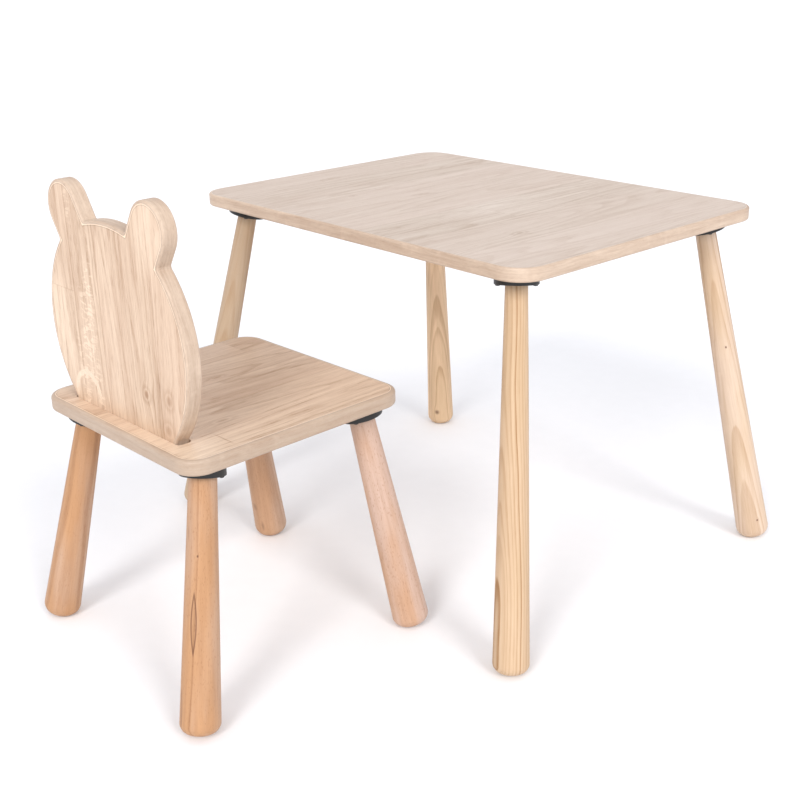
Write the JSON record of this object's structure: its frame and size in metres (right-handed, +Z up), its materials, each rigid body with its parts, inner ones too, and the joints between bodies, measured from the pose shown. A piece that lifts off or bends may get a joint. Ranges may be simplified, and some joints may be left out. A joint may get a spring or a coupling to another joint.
{
  "type": "children's table and chair",
  "caption": "Low rectangular play table on splayed turned legs, with a small matching chair whose flat backrest has a bear-head outline with two round ears.",
  "frame": {"origin": "on the floor, under the middle of the box round the table and the chair", "axes": "+Z up; +Y from the chair towards the table; X along the table's long side"},
  "size_m": [0.6734, 0.8555, 0.5589],
  "materials": {
    "oak_board": "matt oak-look board with fine grain",
    "oak_edging": "matt oak-look strip, a little warmer than the board",
    "ash_leg": "bare turned pale ash, fine sanded",
    "beech_leg": "bare turned beech, fine sanded",
    "black_plastic": "moulded black plastic, fine texture",
    "black_screw": "black oxide",
    "zinc_steel": "bright zinc"
  },
  "bodies": {
    "table": {"table_edge_band": "oak_edging", "table_hanger_bolt_back_left": "zinc_steel", "table_hanger_bolt_back_right": "zinc_steel", "table_hanger_bolt_front_left": "zinc_steel", "table_hanger_bolt_front_right": "zinc_steel", "table_leg_back_left": "ash_leg", "table_leg_back_right": "ash_leg", "table_leg_front_left": "ash_leg", "table_leg_front_right": "ash_leg", "table_plate_back_left": "black_plastic", "table_plate_back_right": "black_plastic", "table_plate_front_left": "black_plastic", "table_plate_front_right": "black_plastic", "table_plate_screws": "black_screw", "table_sleeve_back_left": "zinc_steel", "table_sleeve_back_right": "zinc_steel", "table_sleeve_front_left": "zinc_steel", "table_sleeve_front_right": "zinc_steel", "table_top": "oak_board"},
    "chair": {"backrest_board": "oak_board", "backrest_edge_band": "oak_edging", "backrest_screws": "zinc_steel", "chair_hanger_bolt_back_left": "zinc_steel", "chair_hanger_bolt_back_right": "zinc_steel", "chair_hanger_bolt_front_left": "zinc_steel", "chair_hanger_bolt_front_right": "zinc_steel", "chair_leg_back_left": "beech_leg", "chair_leg_back_right": "beech_leg", "chair_leg_front_left": "beech_leg", "chair_leg_front_right": "beech_leg", "chair_plate_back_left": "black_plastic", "chair_plate_back_right": "black_plastic", "chair_plate_front_left": "black_plastic", "chair_plate_front_right": "black_plastic", "chair_plate_screws": "black_screw", "chair_sleeve_back_left": "zinc_steel", "chair_sleeve_back_right": "zinc_steel", "chair_sleeve_front_left": "zinc_steel", "chair_sleeve_front_right": "zinc_steel", "seat_board": "oak_board", "seat_edge_band": "oak_edging"}
  },
  "joints": [
    {"name": "chair_slide", "type": "slide", "parent": "table", "child": "chair", "axis": [-0.0297, 0.9996, 0], "range_m": [-0.3, 0.275]}
  ]
}
